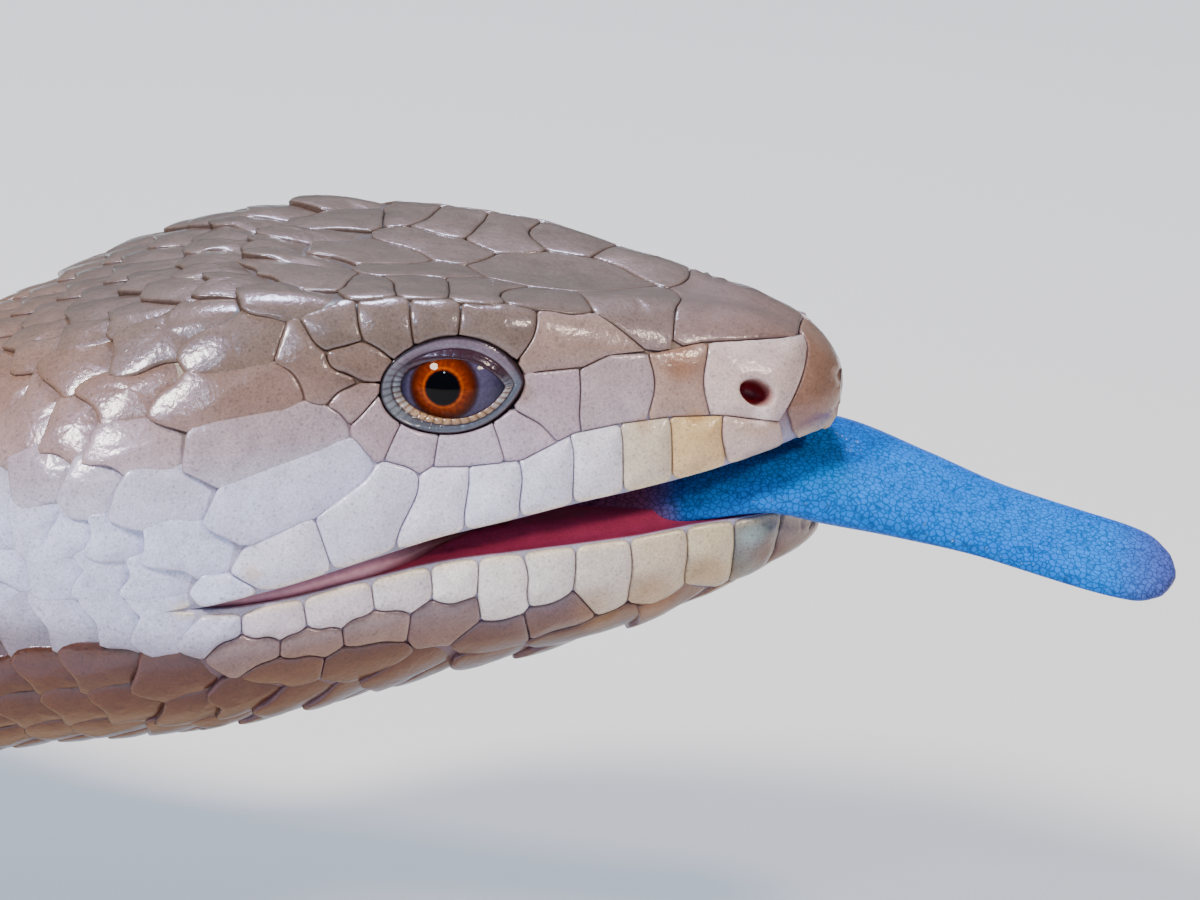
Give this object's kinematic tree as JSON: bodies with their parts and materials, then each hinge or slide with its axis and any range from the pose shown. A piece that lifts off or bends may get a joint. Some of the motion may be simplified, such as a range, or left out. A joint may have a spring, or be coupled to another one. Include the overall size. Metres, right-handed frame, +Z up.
{
  "type": "blue tongued skink",
  "caption": "Life-size blue-tongued skink at rest: broad shielded head raised, jaws parted and flat blue tongue out, heavy body, short legs and tapering tail on the floor",
  "frame": {"origin": "on the floor, under the middle of the model's box", "axes": "+X the way the head points, +Y the animal's left, +Z up"},
  "size_m": [0.4834, 0.156, 0.0515],
  "materials": {
    "head_skin": "smooth glossy head shields, grey-tan above and lavender-pink on the cheeks",
    "jaw_skin": "smooth glossy lip and chin shields, cream to ochre",
    "tongue": "wet, finely pebbled blue",
    "eye": "orange iris with a round black pupil under a clear wet cornea",
    "body_skin": "smooth overlapping scales, tan with broad brown bands and a pale belly",
    "foot_skin": "small scales, with dark horn claws"
  },
  "bodies": {
    "root": {"head": "head_skin", "lower_jaw": "jaw_skin", "tongue": "tongue", "eye_left": "eye", "eye_right": "eye", "neck": "body_skin", "torso": "body_skin", "tail_base": "body_skin", "tail_tip": "body_skin", "fore_leg_left": "body_skin", "fore_leg_right": "body_skin", "hind_leg_left": "body_skin", "hind_leg_right": "body_skin", "fore_foot_left": "foot_skin", "fore_foot_right": "foot_skin", "hind_foot_left": "foot_skin", "hind_foot_right": "foot_skin"}
  },
  "joints": []
}
